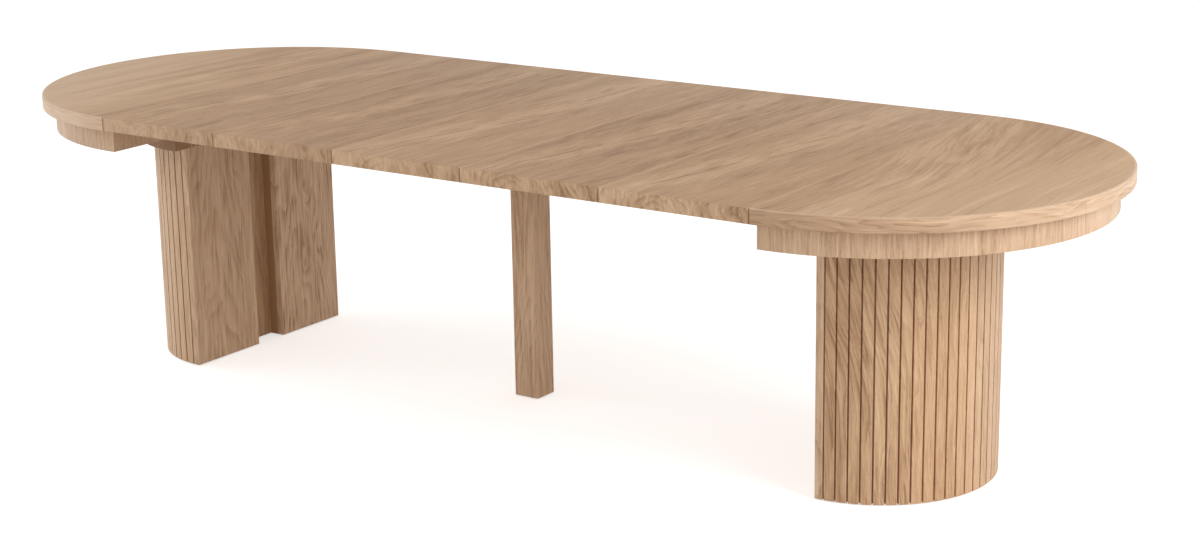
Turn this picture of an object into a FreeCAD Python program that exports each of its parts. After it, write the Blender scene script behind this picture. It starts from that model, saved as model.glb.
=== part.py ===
# Extending dining table in oak. Two half-round ends stand on half-drum pedestals, five
# loose leaves lie between them, and a telescoping wooden slide under the leaves is held
# up at its middle by one square leg.
# Millimetres. The origin is on the floor at the middle of the extended table, with +X
# along the table, +Y away from the viewer and +Z up.
#
# The two ends are the same piece of joinery turned half round. Each is drawn in a frame
# of its own: X runs across the table, Y runs outward from the seam to the round edge.
import FreeCAD, Part
import os
import re

SIZES = {
    # Table top
    "table_height": 770,
    "top_thickness": 36,
    "end_radius": 600,
    "leaf_width": 400,
    "leaf_count": 5,
    "seam_gap": 0.6,
    "edge_band": 6,
    "rim_round": 2,
    "seam_round": 0.8,
    # Dowels that line the leaves up
    "pin_radius": 4,
    "pin_length": 28,
    "pin_play": 0.1,
    # Apron
    "apron_height": 64,
    "apron_inset": 34,
    "apron_thickness": 22,
    "cross_rail_thickness": 22,
    "corner_block_leg": 45,
    "glue_block_width": 44,
    "glue_block_depth": 24,
    # Half-round cap plate on each drum
    "cap_thickness": 40,
    "cap_overhang": 40,
    # Half-drum pedestals
    "drum_radius": 300,
    "slat_count": 30,
    "slat_thickness": 12,
    "slat_groove": 4,
    "backing_thickness": 12,
    "glue_gap": 0.2,
    "face_panel_thickness": 20,
    "recess_width": 104,
    "recess_depth": 48,
    "recess_board": 16,
    "rib_thickness": 18,
    # Floor glides
    "glide_radius": 15,
    "glide_height": 3,
    "glide_stem_radius": 3,
    "glide_stem": 12,
    "glide_inset": 45,
    # Centre leg and the bearer that joins it to the slides
    "leg_side": 75,
    "leg_offset": 40,
    "leg_round": 2,
    "bearer_thickness": 18,
    "bearer_width": 100,
    # Telescoping slides
    "rail_height": 42,
    "rail_thickness": 30,
    "rail_spread": 165,
    "lane_gap": 2,
    "slide_gap": 0.5,
    "tongue_depth": 10,
    "tongue_root": 10,
    "tongue_tip": 16,
    "tongue_play": 0.4,
    "middle_rail_length": 980,
    "stage_rail_length": 920,
    "end_rail_clearance": 46.2,
    "stop_length": 20,
    # Blocks between the cap plate and the top
    "packer_start": 60,
    "packer_length": 170,
    "centre_bearer_width": 80,
    "centre_bearer_length": 220,
    "side_bearer_width": 50,
    "side_bearer_length": 120,
    # Countersunk screws
    "screw_radius": 2.5,
    "screw_head_radius": 5,
    "screw_head": 4,
    "screw_play": 0.1,
    "carcase_screw": 75,
    "top_screw": 60,
    "leg_screw": 70,
    "bearer_screw": 48,
    # How far a cutting shape runs past what it cuts
    "overrun": 5,
}

# Sizes that follow from the ones above
WORKED_OUT = {
    "seam_x": "leaf_width * leaf_count / 2",
    "leaf_body": "(leaf_width * leaf_count - seam_gap * (leaf_count + 1)) / leaf_count",
    "leaf_pitch": "leaf_body + seam_gap",
    "top_underside": "table_height - top_thickness",
    "pin_height": "table_height - top_thickness / 2",
    "panel_radius": "end_radius - edge_band",
    "apron_outer": "end_radius - apron_inset",
    "apron_inner": "apron_outer - apron_thickness",
    "apron_underside": "top_underside - apron_height",
    "glue_block_face": "sqrt(apron_inner * apron_inner - glue_block_width * glue_block_width / 4)",
    "drum_top": "apron_underside - cap_thickness",
    "drum_height": "drum_top - glide_height",
    "cap_radius": "drum_radius + cap_overhang",
    "backing_outer": "drum_radius - slat_thickness - glue_gap",
    "backing_inner": "backing_outer - backing_thickness",
    "rib_radius": "backing_inner - glue_gap",
    "slat_start": "asin((face_panel_thickness + slat_groove / 2) / drum_radius) / 1 deg",
    "slat_step": "(180 - 2 * slat_start) / slat_count",
    "slat_width": "2 * drum_radius * tan(slat_step / 2) - slat_groove",
    "face_panel_width": "drum_radius - recess_width / 2",
    "channel_half": "recess_width / 2 + recess_board",
    "channel_back": "recess_depth + recess_board",
    "rail_top": "top_underside - slide_gap",
    "rail_bottom": "rail_top - rail_height",
    "rail_middle": "rail_top - rail_height / 2",
    "lane_pitch": "rail_thickness + lane_gap",
    "groove_depth": "tongue_depth - lane_gap + tongue_play",
    "tongue_mouth": "tongue_root + (tongue_tip - tongue_root) * lane_gap / tongue_depth",
    "groove_root": "tongue_mouth + 2 * tongue_play",
    "groove_tip": "tongue_tip + 2 * tongue_play",
    "slide_reach": "rail_spread + 2 * lane_pitch + rail_thickness / 2",
    "slide_opening": "slide_reach + 2 * lane_gap",
    "end_rail_length": "sqrt(apron_inner * apron_inner - slide_reach * slide_reach) - end_rail_clearance",
    "bearer_top": "rail_bottom - slide_gap",
    "bearer_underside": "bearer_top - bearer_thickness",
    "bearer_reach": "rail_spread + rail_thickness / 2",
}

# Where the slides stand along the table. A stage rail makes this share of the travel of
# the end that it carries, and lies centred over the leg when the table is closed.
STAGE_TRAVEL_SHARE = 0.75
SLIDE_PLACES = {
    "right_stage_start": f"(seam_x + leg_offset) * {STAGE_TRAVEL_SHARE} - leg_offset - stage_rail_length / 2",
    "left_stage_start": f"(seam_x - leg_offset) * {STAGE_TRAVEL_SHARE} + leg_offset - stage_rail_length / 2",
    "middle_rail_start": "0 - leg_offset - middle_rail_length / 2",
    "stage_runner": "middle_rail_start + middle_rail_length - right_stage_start - stop_length - slide_gap",
    "end_runner": "right_stage_start + stage_rail_length - seam_x - stop_length - slide_gap",
}

# Places along a piece, as shares of its size
PIN_SHARES = (-0.75, 0, 0.75)
GLUE_BLOCK_TURN_SHARES = (0.24, 0.5, 0.76)
END_RAIL_SCREW_SHARES = (0.6, 0.9)
PACKER_SCREW_SHARES = (0.25, 0.75)
CENTRE_BEARER_SCREW_SHARES = (0.2, 0.8)
GLIDE_TURN_SHARES = (0.08, 0.34, 0.66, 0.92)
LEG_SCREW_SHARES = (-0.28, 0.28)
BEARER_SCREW_SHARES = (-0.3, 0.3)
RIB_HEIGHT_SHARES = (0.5, 1)

HALF_TURN = 180
QUARTER_TURN = 90
SIDES = ("left", "right")
UP = FreeCAD.Vector(0, 0, 1)
# A quarter turn about this axis lays an upright bar down along +Y
ACROSS = FreeCAD.Vector(-1, 0, 0)

doc = FreeCAD.newDocument("extending_table")
sheet = doc.addObject("Spreadsheet::Sheet", "Sizes")
parts = []


def fill_sheet():
    """Write each size, and each size that follows from others, to a cell with its name."""
    row = 0
    for name, value in SIZES.items():
        row += 1
        sheet.set(f"A{row}", name)
        sheet.set(f"B{row}", str(value))
        sheet.setAlias(f"B{row}", name)
    for name, formula in {**WORKED_OUT, **SLIDE_PLACES}.items():
        row += 1
        sheet.set(f"A{row}", name)
        sheet.set(f"B{row}", "=" + formula)
        sheet.setAlias(f"B{row}", name)
    doc.recompute()


def expression(text):
    """Turn the size names in a formula into references to the sheet."""
    return re.sub(r"\b(?!deg\b)([a-z][a-z_]*)\b(?!\()", r"Sizes.\1", text)


def bind(item, **formulas):
    """Tie properties of an object to formulas of size names."""
    for name, text in formulas.items():
        item.setExpression(name, expression(text))
    return item


def place(item, x="0", y="0", z="0", turn=0, about=UP):
    """Put an object at a place given by formulas, turned about the vertical or another axis."""
    item.Placement = FreeCAD.Placement(FreeCAD.Vector(), FreeCAD.Rotation(about, turn))
    for axis, text in zip("xyz", (x, y, z)):
        item.setExpression("Placement.Base." + axis, expression(text))
    return item


def seat(item, side, start="seam_x", across="0", outward="0", z="0"):
    """Put a piece drawn in the frame of one end where that end stands."""
    if side == "right":
        return place(item, f"({start}) + ({outward})", f"0 - ({across})", z, -QUARTER_TURN)
    return place(item, f"0 - ({start}) - ({outward})", across, z, QUARTER_TURN)


def finish(item, label):
    """Name a finished sub-part and keep it for the export."""
    item.Label = label
    parts.append(item)
    return item


def box(across, outward, height):
    """A box whose three sides are formulas."""
    item = doc.addObject("Part::Box", "Block")
    return bind(item, Length=across, Width=outward, Height=height)


def rod(radius, height):
    """An upright round bar."""
    return bind(doc.addObject("Part::Cylinder", "Rod"), Radius=radius, Height=height)


def half_disc(radius, height, z="0"):
    """A half-round plate: its flat side along X, its round side towards +Y."""
    item = bind(doc.addObject("Part::Cylinder", "HalfDisc"), Radius=radius, Height=height)
    item.Angle = HALF_TURN
    return place(item, z=z)


def cut(base, tool):
    """The base with the tool taken away."""
    item = doc.addObject("Part::Cut", "Cut")
    item.Base = base
    item.Tool = tool
    item.Refine = True
    return item


def common(first, second):
    """What two shapes share."""
    item = doc.addObject("Part::Common", "Common")
    item.Base = first
    item.Tool = second
    item.Refine = True
    return item


def fuse(first, second):
    """Two shapes as one solid."""
    item = doc.addObject("Part::Fuse", "Fuse")
    item.Base = first
    item.Tool = second
    item.Refine = True
    return item


def group(items):
    """Separate solids kept together as one sub-part."""
    item = doc.addObject("Part::Compound", "Group")
    item.Links = items
    return item


def half_ring(outer, inner, height, z):
    """A half-round band, flat ends on X."""
    hole = half_disc(inner, f"{height} + 2 * overrun", f"{z} - overrun")
    return cut(half_disc(outer, height, z), hole)


def rounded(base, size_name, wanted):
    """The base with every edge that the test wants rounded over."""
    doc.recompute()
    radius = sheet.get(size_name)
    item = doc.addObject("Part::Fillet", "Rounded")
    item.Base = base
    edges = enumerate(base.Shape.Edges, start=1)
    item.Edges = [(number, radius, radius) for number, edge in edges if wanted(edge)]
    return item


def is_level(edge):
    """Is the edge horizontal?"""
    return edge.BoundBox.ZLength < edge.Length / 2


def is_along_y(edge):
    """Is the edge horizontal and along Y?"""
    return is_level(edge) and edge.BoundBox.XLength < edge.Length / 2


def is_arc(edge):
    """Is the edge a round one?"""
    return is_level(edge) and isinstance(edge.Curve, Part.Circle)


def screw(length, x, y, z, up=True, play="0"):
    """A countersunk screw, or with some play the hole for one. z is the face of its head."""
    shank = rod(f"screw_radius + {play}", f"{length} + {play}")
    head = doc.addObject("Part::Cone", "Head")
    wide = f"screw_head_radius + {play}"
    slim = f"screw_radius + {play}"
    bind(head, Height="screw_head")
    if up:
        bind(head, Radius1=wide, Radius2=slim)
        return fuse(place(shank, x, y, z), place(head, x, y, z))
    bind(head, Radius1=slim, Radius2=wide)
    return fuse(
        place(shank, x, y, f"{z} - ({length}) - {play}"),
        place(head, x, y, f"{z} - screw_head"),
    )


# The table top


def level_rod(radius, length, share, y):
    """A round bar lying along Y at the height of the dowels, at a share of the end radius along X."""
    return place(rod(radius, length), f"end_radius * {share}", y, "pin_height", QUARTER_TURN, ACROSS)


def pin_holes(y, y_end):
    """Blind holes for the dowels in one seam face, running from y to y_end along Y."""
    return [level_rod("pin_radius + pin_play", f"({y_end}) - ({y})", share, y) for share in PIN_SHARES]


def top_panel(side):
    """The solid half-round panel inside the edge band."""
    blank = place(rod("panel_radius", "top_thickness"), z="top_underside")
    waste = box("2 * end_radius", "end_radius", "top_thickness + 2 * overrun")
    place(waste, "0 - end_radius", "0 - end_radius", "top_underside - overrun")
    half = rounded(cut(blank, waste), "seam_round", lambda edge: is_level(edge) and not is_arc(edge))
    holes = pin_holes("0 - overrun", "pin_length / 2 + pin_play")
    for screw_x, screw_y in end_rail_screw_places():
        holes.append(screw("top_screw", screw_x, screw_y, "rail_bottom", play="screw_play"))
    finish(seat(cut(half, group(holes)), side), f"{side}_top_panel")


def edge_band(side):
    """The bent strip round the edge of the half-round panel."""
    blank = rounded(half_disc("end_radius", "top_thickness", "top_underside"), "rim_round", is_arc)
    hole = half_disc("panel_radius", "top_thickness + 2 * overrun", "top_underside - overrun")
    finish(seat(cut(blank, hole), side), f"{side}_edge_band")


def leaf(number):
    """One loose leaf, its long edges on the seams."""
    blank = place(box("2 * end_radius", "leaf_body", "top_thickness"), "0 - end_radius", z="top_underside")
    ends = rounded(blank, "rim_round", is_along_y)
    holes = pin_holes("0 - overrun", "pin_length / 2 + pin_play")
    holes += pin_holes("leaf_body - pin_length / 2 - pin_play", "leaf_body + overrun")
    item = cut(ends, group(holes))
    start = f"seam_gap + leaf_pitch * {number - 1} - seam_x"
    finish(seat(item, "right", start), f"leaf_{number}")


def seam_pins(seam, label):
    """The dowels that line up the two panels at one seam."""
    pins = [level_rod("pin_radius", "pin_length", share, "0") for share in PIN_SHARES]
    start = f"leaf_pitch * {seam} + seam_gap / 2 - seam_x - pin_length / 2"
    finish(seat(group(pins), "right", start), label)


# The apron and what joins it to the top


def curved_apron(side):
    """The bent apron under the round edge."""
    ring = half_ring("apron_outer", "apron_inner", "apron_height", "apron_underside")
    finish(seat(ring, side), f"{side}_curved_apron")


def cross_rails(side):
    """The two straight rails that close the apron at the seam, clear of the slides."""
    rails = []
    for start in ("slide_opening", "0 - apron_outer"):
        board = box("apron_outer - slide_opening", "cross_rail_thickness", "apron_height")
        place(board, start, z="apron_underside")
        rails.append(common(board, half_disc("apron_inner", "apron_height", "apron_underside")))
    finish(seat(group(rails), side), f"{side}_cross_rails")


def corner_block(sign):
    """A three-cornered block where a cross rail meets the curved apron."""
    block = doc.addObject("Part::Wedge", "CornerBlock")
    bind(block, Xmin="0", Xmax="corner_block_leg", X2min="0", X2max="0")
    bind(block, Ymin="0", Ymax="corner_block_leg", Zmin="0", Zmax="apron_height")
    bind(block, Z2min="0", Z2max="apron_height")
    turn = QUARTER_TURN if sign > 0 else 0
    place(block, f"{sign} * apron_inner", "cross_rail_thickness", "apron_underside", turn)
    return common(block, half_disc("apron_inner", "apron_height", "apron_underside"))


def tangent_block(turn, outer, depth, width, height, z):
    """A block whose flat outer face lies square across a radius, turned from +X."""
    block = box(depth, width, height)
    inner = f"({outer} - {depth})"
    place(
        block,
        f"{inner} * cos({turn}) + {width} / 2 * sin({turn})",
        f"{inner} * sin({turn}) - {width} / 2 * cos({turn})",
        z,
    )
    block.setExpression("Placement.Rotation.Angle", expression(turn))
    return block


def glue_blocks(side):
    """Blocks glued into the angle between the apron and the top."""
    blocks = [corner_block(-1), corner_block(1)]
    for share in GLUE_BLOCK_TURN_SHARES:
        turn = f"{share * HALF_TURN}"
        blocks.append(
            tangent_block(
                turn,
                "glue_block_face",
                "glue_block_depth",
                "glue_block_width",
                "apron_height",
                "apron_underside",
            )
        )
    finish(seat(group(blocks), side), f"{side}_glue_blocks")


# The slides


def taper(length, depth, root, tip):
    """A dovetail bar along X that widens towards +Y, centred in height."""
    bar = doc.addObject("Part::Wedge", "Dovetail")
    bind(bar, Xmin="0", Xmax=length, X2min="0", X2max=length, Ymin="0", Ymax=depth)
    bind(bar, Zmin=f"0 - {root} / 2", Zmax=f"{root} / 2", Z2min=f"0 - {tip} / 2", Z2max=f"{tip} / 2")
    return bar


def tongue(length):
    """The dovetail tongue on the +X face of a rail, from its inner end."""
    bar = taper(length, "tongue_depth", "tongue_root", "tongue_tip")
    return place(bar, "rail_thickness / 2", length, "rail_middle", -QUARTER_TURN)


def groove(length, face):
    """The dovetail groove in one face of a rail, open at both ends."""
    run = f"{length} + 2 * overrun"
    bar = taper(run, "groove_depth", "groove_root", "groove_tip")
    if face < 0:
        return place(bar, "0 - rail_thickness / 2", f"{length} + overrun", "rail_middle", -QUARTER_TURN)
    return place(bar, "rail_thickness / 2", "0 - overrun", "rail_middle", QUARTER_TURN)


def rail_stop(length, face, inner_end):
    """The block that fills one end of a groove and stops the tongue there."""
    bar = taper("stop_length", "groove_depth - tongue_play", "tongue_root", "tongue_tip")
    start = "0" if inner_end else f"{length} - stop_length"
    if face < 0:
        return place(
            bar,
            "0 - rail_thickness / 2 + tongue_play / 2",
            f"{start} + stop_length",
            "rail_middle",
            -QUARTER_TURN,
        )
    return place(bar, "rail_thickness / 2 - tongue_play / 2", start, "rail_middle", QUARTER_TURN)


def rail_bar(length, bottom, top):
    """A plain rail along Y, centred on X."""
    return place(box("rail_thickness", length, f"{top} - ({bottom})"), "0 - rail_thickness / 2", z=bottom)


def end_lanes():
    """Where the two end rails of one end stand across the table."""
    return ("rail_spread - 2 * lane_pitch", "0 - rail_spread - 2 * lane_pitch")


def stage_lanes():
    """Where the two stage rails of one end stand across the table."""
    return ("rail_spread - lane_pitch", "0 - rail_spread - lane_pitch")


def shift(item, across, outward="0"):
    """One solid of a group, moved across the table."""
    holder = group([item])
    return place(holder, across, outward)


def end_rail_screw_places():
    """Where screws go up through the end rails into the top."""
    return [
        (lane, f"end_rail_length * {share}") for lane in end_lanes() for share in END_RAIL_SCREW_SHARES
    ]


def end_rails(side):
    """The two rails screwed under one end, with the tongues that run in the stage rails."""
    rails = []
    for lane in end_lanes():
        blank = fuse(rail_bar("end_rail_length", "rail_bottom", "top_underside"), tongue("end_runner"))
        holes = [
            screw("top_screw", "0", f"end_rail_length * {share}", "rail_bottom", play="screw_play")
            for share in END_RAIL_SCREW_SHARES
        ]
        rails.append(shift(cut(blank, group(holes)), lane))
    finish(seat(group(rails), side), f"{side}_end_rails")


def stage_rails(side):
    """The pair of loose rails that carry one end out from the middle rails."""
    rails = []
    for lane in stage_lanes():
        blank = fuse(rail_bar("stage_rail_length", "rail_bottom", "rail_top"), tongue("stage_runner"))
        rails.append(shift(cut(blank, groove("stage_rail_length", -1)), lane))
    finish(seat(group(rails), side, f"{side}_stage_start"), f"{side}_stage_rails")


def stage_stops(side):
    """The stops in the outer ends of the stage rails' grooves."""
    stops = [shift(rail_stop("stage_rail_length", -1, False), lane) for lane in stage_lanes()]
    finish(seat(group(stops), side, f"{side}_stage_start"), f"{side}_stage_stops")


def middle_rails():
    """The pair of rails fixed to the leg's bearer, grooved on both faces."""
    rails = []
    for lane in ("rail_spread", "0 - rail_spread"):
        blank = rail_bar("middle_rail_length", "bearer_top", "rail_top")
        tools = [groove("middle_rail_length", face) for face in (-1, 1)]
        for share in BEARER_SCREW_SHARES:
            y = f"middle_rail_length / 2 + bearer_width * {share}"
            tools.append(screw("bearer_screw", "0", y, "bearer_underside", play="screw_play"))
        rails.append(shift(cut(blank, group(tools)), lane))
    finish(seat(group(rails), "right", "middle_rail_start"), "middle_rails")


def middle_stops():
    """The stops in the ends of the middle rails' grooves."""
    stops = []
    for lane in ("rail_spread", "0 - rail_spread"):
        stops.append(shift(rail_stop("middle_rail_length", -1, False), lane))
        stops.append(shift(rail_stop("middle_rail_length", 1, True), lane))
    finish(seat(group(stops), "right", "middle_rail_start"), "middle_stops")


# The cap plate and the blocks on it


def carcase_screw_places():
    """Where screws go up through the drum's top rib, the cap plate and what lies on it."""
    places = [
        ("0", f"packer_start + centre_bearer_length * {share}") for share in CENTRE_BEARER_SCREW_SHARES
    ]
    places += [
        (end_lanes()[0], f"packer_start + packer_length * {share}") for share in PACKER_SCREW_SHARES
    ]
    places.append((end_lanes()[1], f"packer_start + packer_length * {PACKER_SCREW_SHARES[0]}"))
    return places


def carcase_screws(play="0"):
    """The screws of one end's carcase, or with some play their holes."""
    z = "drum_top - rib_thickness"
    return [screw("carcase_screw", x, y, z, play=play) for x, y in carcase_screw_places()]


def recess(height, z, half="recess_width / 2", depth="recess_depth"):
    """The space that the centre leg stands in when the table is closed."""
    notch = box(f"2 * ({half})", f"{depth} + overrun", f"{height} + 2 * overrun")
    return place(notch, f"0 - ({half})", "0 - overrun", f"{z} - overrun")


def cap_plate(side):
    """The half-round plate on top of the drum."""
    blank = half_disc("cap_radius", "cap_thickness", "drum_top")
    tools = [recess("cap_thickness", "drum_top")] + carcase_screws("screw_play")
    finish(seat(cut(blank, group(tools)), side), f"{side}_cap_plate")


def rail_packers(side):
    """The packing pieces between the cap plate and the end rails."""
    packers = []
    for lane in end_lanes():
        blank = box("rail_thickness", "packer_length", "rail_bottom - apron_underside")
        place(blank, f"{lane} - rail_thickness / 2", "packer_start", "apron_underside")
        packers.append(cut(blank, group(carcase_screws("screw_play"))))
    finish(seat(group(packers), side), f"{side}_rail_packers")


def top_bearers(side):
    """The blocks that hold the top off the cap plate, clear of every rail."""
    middle = box("centre_bearer_width", "centre_bearer_length", "apron_height")
    place(middle, "0 - centre_bearer_width / 2", "packer_start", "apron_underside")
    blocks = [cut(middle, group(carcase_screws("screw_play")))]
    for start in ("slide_opening", "0 - slide_opening - side_bearer_width"):
        block = box("side_bearer_width", "side_bearer_length", "apron_height")
        blocks.append(place(block, start, "cross_rail_thickness", "apron_underside"))
    finish(seat(group(blocks), side), f"{side}_top_bearers")


def fixing_screws(side):
    """All the screws of one end."""
    screws = carcase_screws()
    screws += [screw("top_screw", x, y, "rail_bottom") for x, y in end_rail_screw_places()]
    finish(seat(group(screws), side), f"{side}_fixing_screws")


# The half-drum pedestals


def drum_slats(side):
    """The flat upright slats round the drum."""
    slats = []
    for number in range(int(SIZES["slat_count"])):
        turn = f"(slat_start + slat_step * {number + 0.5})"
        slats.append(
            tangent_block(turn, "drum_radius", "slat_thickness", "slat_width", "drum_height", "glide_height")
        )
    finish(seat(group(slats), side), f"{side}_drum_slats")


def behind_panels(radius, height, z):
    """A half-round solid that starts behind the face panels."""
    front = box("2 * drum_radius", "face_panel_thickness + overrun", f"{height} + 2 * overrun")
    place(front, "0 - drum_radius", "0 - overrun", f"{z} - overrun")
    return cut(half_disc(radius, height, z), front)


def drum_backing(side):
    """The bent board that the slats are glued to."""
    outer = behind_panels("backing_outer", "drum_height", "glide_height")
    hole = half_disc("backing_inner", "drum_height + 2 * overrun", "glide_height - overrun")
    finish(seat(cut(outer, hole), side), f"{side}_drum_backing")


def face_panels(side):
    """The two flat boards of the inner face, one each side of the recess."""
    names = ("front", "back") if side == "right" else ("back", "front")
    for name, across in zip(names, ("recess_width / 2", "0 - drum_radius")):
        board = box("face_panel_width", "face_panel_thickness", "drum_height")
        finish(seat(board, side, across=across, z="glide_height"), f"{side}_{name}_face_panel")


def recess_back(side):
    """The board at the back of the recess."""
    board = box("recess_width", "recess_board", "drum_height")
    finish(
        seat(board, side, across="0 - recess_width / 2", outward="recess_depth", z="glide_height"),
        f"{side}_recess_back",
    )


def recess_sides(side):
    """The two boards at the sides of the recess, behind the face panels."""
    boards = []
    for start in ("recess_width / 2", "0 - channel_half"):
        board = box("recess_board", "channel_back - face_panel_thickness", "drum_height")
        boards.append(place(board, start, "face_panel_thickness", "glide_height"))
    finish(seat(group(boards), side), f"{side}_recess_sides")


def rib(z):
    """A half-round plate that fits inside the backing and round the recess."""
    plate = behind_panels("rib_radius", "rib_thickness", z)
    return cut(plate, recess("rib_thickness", z, "channel_half", "channel_back"))


def glide_places():
    """Where the floor glides stand under the drum."""
    reach = "(rib_radius - glide_inset)"
    return [
        (f"{reach} * cos({share * HALF_TURN})", f"{reach} * sin({share * HALF_TURN})")
        for share in GLIDE_TURN_SHARES
    ]


def glide(x, y):
    """A floor glide: a flat foot with a stem driven into the wood."""
    foot = place(rod("glide_radius", "glide_height"), x, y)
    stem = place(rod("glide_stem_radius", "glide_height + glide_stem"), x, y)
    return fuse(foot, stem)


def stem_hole(x, y):
    """The hole for a glide's stem."""
    hole = rod("glide_stem_radius + screw_play", "glide_stem + screw_play + overrun")
    return place(hole, x, y, "glide_height - overrun")


def base_plate(side):
    """The bottom plate of the drum, drilled for its glides."""
    holes = [stem_hole(x, y) for x, y in glide_places()]
    finish(seat(cut(rib("glide_height"), group(holes)), side), f"{side}_base_plate")


def inner_ribs(side):
    """The half-round plates at the middle and the top of the drum."""
    middle_share, top_share = RIB_HEIGHT_SHARES
    ribs = [rib(f"glide_height + drum_height * {middle_share} - rib_thickness / 2")]
    top = rib(f"glide_height + drum_height * {top_share} - rib_thickness")
    ribs.append(cut(top, group(carcase_screws("screw_play"))))
    finish(seat(group(ribs), side), f"{side}_inner_ribs")


def drum_glides(side):
    """The floor glides of one drum."""
    finish(seat(group([glide(x, y) for x, y in glide_places()]), side), f"{side}_floor_glides")


# The centre leg


def leg_screw_places():
    """Where screws go down through the bearer into the leg."""
    return [
        (f"leg_side * {across}", f"leg_side * {along}")
        for across in LEG_SCREW_SHARES
        for along in LEG_SCREW_SHARES
    ]


def bearer_screw_places():
    """Where screws go up through the bearer into the middle rails."""
    return [
        (lane, f"bearer_width * {share}")
        for lane in ("rail_spread", "0 - rail_spread")
        for share in BEARER_SCREW_SHARES
    ]


def leg_fixings(play="0"):
    """The screws that hold the leg, the bearer and the middle rails together."""
    down = [screw("leg_screw", x, y, "bearer_top", False, play) for x, y in leg_screw_places()]
    up = [screw("bearer_screw", x, y, "bearer_underside", True, play) for x, y in bearer_screw_places()]
    return down + up


def seat_middle(item, label):
    """Put a piece of the centre leg under the middle of the slides."""
    finish(seat(item, "right", "0 - leg_offset"), label)


def centre_leg():
    """The square leg, its upright edges eased."""
    blank = box("leg_side", "leg_side", "bearer_underside - glide_height")
    place(blank, "0 - leg_side / 2", "0 - leg_side / 2", "glide_height")
    tools = leg_fixings("screw_play") + [stem_hole("0", "0")]
    leg = cut(rounded(blank, "leg_round", lambda edge: not is_level(edge)), group(tools))
    seat_middle(leg, "centre_leg")


def leg_bearer():
    """The flat bearer on top of the leg, with the middle rails on its ends."""
    blank = box("2 * bearer_reach", "bearer_width", "bearer_thickness")
    place(blank, "0 - bearer_reach", "0 - bearer_width / 2", "bearer_underside")
    seat_middle(cut(blank, group(leg_fixings("screw_play"))), "leg_bearer")


def build():
    """Every sub-part of the table."""
    for side in SIDES:
        top_panel(side)
        edge_band(side)
        curved_apron(side)
        cross_rails(side)
        glue_blocks(side)
        cap_plate(side)
        rail_packers(side)
        top_bearers(side)
        end_rails(side)
        drum_slats(side)
        drum_backing(side)
        face_panels(side)
        recess_back(side)
        recess_sides(side)
        base_plate(side)
        inner_ribs(side)
        drum_glides(side)
        fixing_screws(side)
        stage_rails(side)
        stage_stops(side)
    centre_leg()
    seat_middle(group([glide("0", "0")]), "leg_glide")
    leg_bearer()
    seat_middle(group(leg_fixings()), "leg_screws")
    middle_rails()
    middle_stops()
    leaf_count = int(SIZES["leaf_count"])
    for number in range(1, leaf_count + 1):
        leaf(number)
        seam_pins(number - 1, f"leaf_{number}_pins")
    seam_pins(leaf_count, "right_top_pins")


def check():
    """Stop if any object failed or any sub-part is empty or broken."""
    doc.recompute()
    for item in doc.Objects:
        if "Invalid" in item.State or "Error" in item.State:
            raise RuntimeError(f"{item.Name} ({item.Label}) failed: {item.State}")
    for item in parts:
        if item.Shape.isNull() or not item.Shape.isValid() or not item.Shape.Solids:
            raise RuntimeError(f"{item.Label} has no valid shape")


def export():
    """Write each sub-part to its own file."""
    os.makedirs("parts", exist_ok=True)
    for item in parts:
        item.Shape.exportStep(f"parts/{item.Label}.step")


fill_sheet()
build()
check()
export()
print(len(parts), "sub-parts")
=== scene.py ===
"""The looks of an oak dining table that extends: its woods, its studio and its camera."""

import math
from typing import Any, NamedTuple

import bmesh
import bpy
from mathutils import Matrix, Vector


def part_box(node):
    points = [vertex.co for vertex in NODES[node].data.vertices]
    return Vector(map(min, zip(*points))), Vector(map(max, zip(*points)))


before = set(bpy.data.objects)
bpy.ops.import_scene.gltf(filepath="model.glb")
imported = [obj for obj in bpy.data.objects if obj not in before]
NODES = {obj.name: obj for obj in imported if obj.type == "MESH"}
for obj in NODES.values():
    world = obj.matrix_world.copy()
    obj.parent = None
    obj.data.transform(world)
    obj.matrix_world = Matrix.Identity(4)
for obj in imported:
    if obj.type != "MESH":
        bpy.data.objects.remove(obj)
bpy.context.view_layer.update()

# Places read from the frame, in metres
SEAM_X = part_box("right_front_face_panel")[0].x
PANEL_OUTER_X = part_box("right_front_face_panel")[1].x
TOP_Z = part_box("leaf_1")[1].z
TOP_UNDERSIDE_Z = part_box("leaf_1")[0].z
TOP_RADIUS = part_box("leaf_1")[1].y
APRON_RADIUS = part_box("right_curved_apron")[1].y
DRUM_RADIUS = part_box("right_front_face_panel")[0].y * -1
SIDES = {"left": -1, "right": 1}
LEAVES = [name for name in NODES if name.startswith("leaf_") and not name.endswith("_pins")]

# Colours are given as 0 to 255 in sRGB. The oak goes from its dark lines to its pale ones
OAK_PALE = (217, 183, 147)
PORE_BROWN = (112, 80, 54)
# JOINT_BROWN darkens knots, veins and joints, and is painted shade with some dirt in the seams
JOINT_BROWN = (104, 72, 46)
SHADES = (0.0, 0.38, 0.62, 1.0)
OAK_STOPS = tuple(zip(SHADES, ((155, 119, 87), (187, 150, 115), (202, 166, 130), OAK_PALE)))
GREY_OAK_STOPS = tuple(
    zip(SHADES, ((156, 122, 93), (188, 154, 123), (203, 170, 139), (218, 187, 156)))
)
# Darker brown colours, painted shade for the recess sides
RECESS_SHADE_STOPS = tuple(
    zip(SHADES, ((116, 84, 56), (142, 106, 74), (156, 118, 84), (172, 134, 98)))
)
BEECH_STOPS = tuple(
    zip(SHADES, ((176, 140, 104), (199, 164, 126), (210, 178, 142), (222, 194, 160)))
)
BIRCH_STOPS = tuple(
    zip(SHADES, ((172, 138, 102), (192, 160, 124), (204, 174, 138), (220, 194, 160)))
)

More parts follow.
